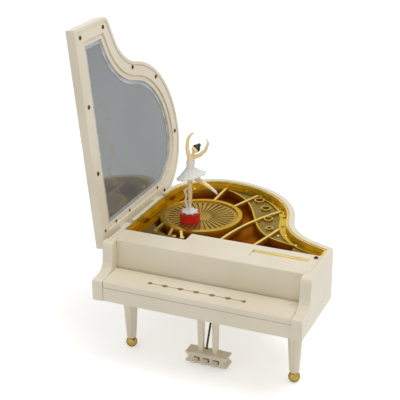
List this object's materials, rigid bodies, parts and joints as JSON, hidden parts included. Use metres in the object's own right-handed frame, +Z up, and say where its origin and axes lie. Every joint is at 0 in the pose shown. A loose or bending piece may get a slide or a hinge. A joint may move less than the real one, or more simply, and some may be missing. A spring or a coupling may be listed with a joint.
{
  "type": "piano music box",
  "caption": "Grand-piano-shaped wind-up music box with a mirrored lid, gold harp tray, round stage and a dancer turned by a magnet under the stage.",
  "frame": {"origin": "centre of the bounding box on the floor under the ball feet, lid open", "axes": "+Z up, +X to the treble side, +Y to the tail, keyboard front at -Y"},
  "size_m": [0.168, 0.1542, 0.2217],
  "materials": {
    "ivory_abs": "glossy moulded ivory ABS",
    "gold_plate": "vacuum-metallised gold on moulded plastic",
    "stage_gold": "vacuum-metallised gold, rayed",
    "mirror": "silvered acrylic",
    "brass": "polished brass",
    "steel": "plain steel",
    "bronze_wire": "dark bronzed wire",
    "red_plastic": "glossy red plastic",
    "white_plastic": "satin white plastic",
    "skin_paint": "painted flesh tone",
    "black_paint": "black paint",
    "zinc": "die-cast zinc alloy",
    "ferrite": "sintered magnet"
  },
  "bodies": {
    "case": {"case_rim": "ivory_abs", "bottom_plate": "ivory_abs", "bottom_screws": "steel", "gold_tray": "gold_plate", "stage_disc": "stage_gold", "front_rail": "ivory_abs", "rail_screw": "brass", "key_slip": "ivory_abs", "white_keys": "white_plastic", "black_keys": "black_paint", "hinge_pins": "brass", "leg_left": "ivory_abs", "leg_right": "ivory_abs", "leg_rear": "ivory_abs", "ball_foot_left": "brass", "ball_foot_right": "brass", "ball_foot_rear": "brass", "lyre_box": "ivory_abs", "lyre_posts": "ivory_abs", "pedals": "ivory_abs", "brace_rods": "bronze_wire", "movement_bed": "zinc", "drum_bearings": "zinc", "comb_block": "zinc", "tone_comb": "steel", "comb_screws": "steel", "speed_governor": "zinc", "bed_screws": "steel"},
    "lid": {"lid_shell": "ivory_abs", "lid_frame": "ivory_abs", "lid_mirror": "mirror", "lid_screws": "brass"},
    "fallboard": {"fallboard": "ivory_abs"},
    "barrel": {"spring_barrel": "zinc", "mainspring": "steel"},
    "take_off": {"take_off_wheel": "white_plastic", "drive_magnet": "ferrite"},
    "tune_drum": {"tune_drum": "brass"},
    "winding_key": {"winding_key": "steel"},
    "figure_stand": {"figure_drum": "red_plastic"},
    "dancer": {"figure_magnet": "ferrite", "figure_pad": "white_plastic", "dancer_arms_head": "skin_paint", "dancer_bodice": "white_plastic", "dancer_hair": "black_paint", "dancer_legs": "skin_paint", "dancer_tutu": "white_plastic", "dancer_slippers": "white_plastic", "dancer_scarf": "white_plastic"}
  },
  "joints": [
    {"name": "lid_hinge", "type": "hinge", "parent": "case", "child": "lid", "pos_m": [-0.05887, 0.0104, 0.07824], "axis": [0, 1, 0], "range_deg": [0, 95.8]},
    {"name": "figure_lift_off", "type": "slide", "parent": "case", "child": "figure_stand", "axis": [0.9397, 0, 0.342], "range_m": [0, 0.181]},
    {"name": "dancer_turn", "type": "hinge", "parent": "figure_stand", "child": "dancer", "pos_m": [-0.02467, 0.0009, 0.08264], "axis": [0, 0, 1], "continuous": true},
    {"name": "fallboard_hinge", "type": "hinge", "parent": "case", "child": "fallboard", "pos_m": [0.01153, -0.0569, 0.06114], "axis": [-1, 0, 0], "range_deg": [0, 86]},
    {"name": "winding_turn", "type": "hinge", "parent": "case", "child": "winding_key", "pos_m": [-0.00917, 0.0124, 0.04764], "axis": [0, 0, 1], "continuous": true},
    {"name": "barrel_turn", "type": "hinge", "parent": "case", "child": "barrel", "pos_m": [-0.00917, 0.0124, 0.05564], "axis": [0, 0, 1], "continuous": true},
    {"name": "take_off_turn", "type": "hinge", "parent": "case", "child": "take_off", "pos_m": [-0.02467, 0.0009, 0.05564], "axis": [0, 0, 1], "continuous": true},
    {"name": "tune_drum_turn", "type": "hinge", "parent": "case", "child": "tune_drum", "pos_m": [0.01153, 0.0124, 0.06494], "axis": [1, 0, 0], "continuous": true}
  ],
  "couplings": [
    {"joint": "figure_lift_off", "follows": "lid_hinge", "m_per_rad": 0.1076},
    {"joint": "take_off_turn", "follows": "barrel_turn", "ratio": -1.8182},
    {"joint": "dancer_turn", "follows": "barrel_turn", "ratio": -1.8182},
    {"joint": "tune_drum_turn", "follows": "barrel_turn", "ratio": 3}
  ]
}
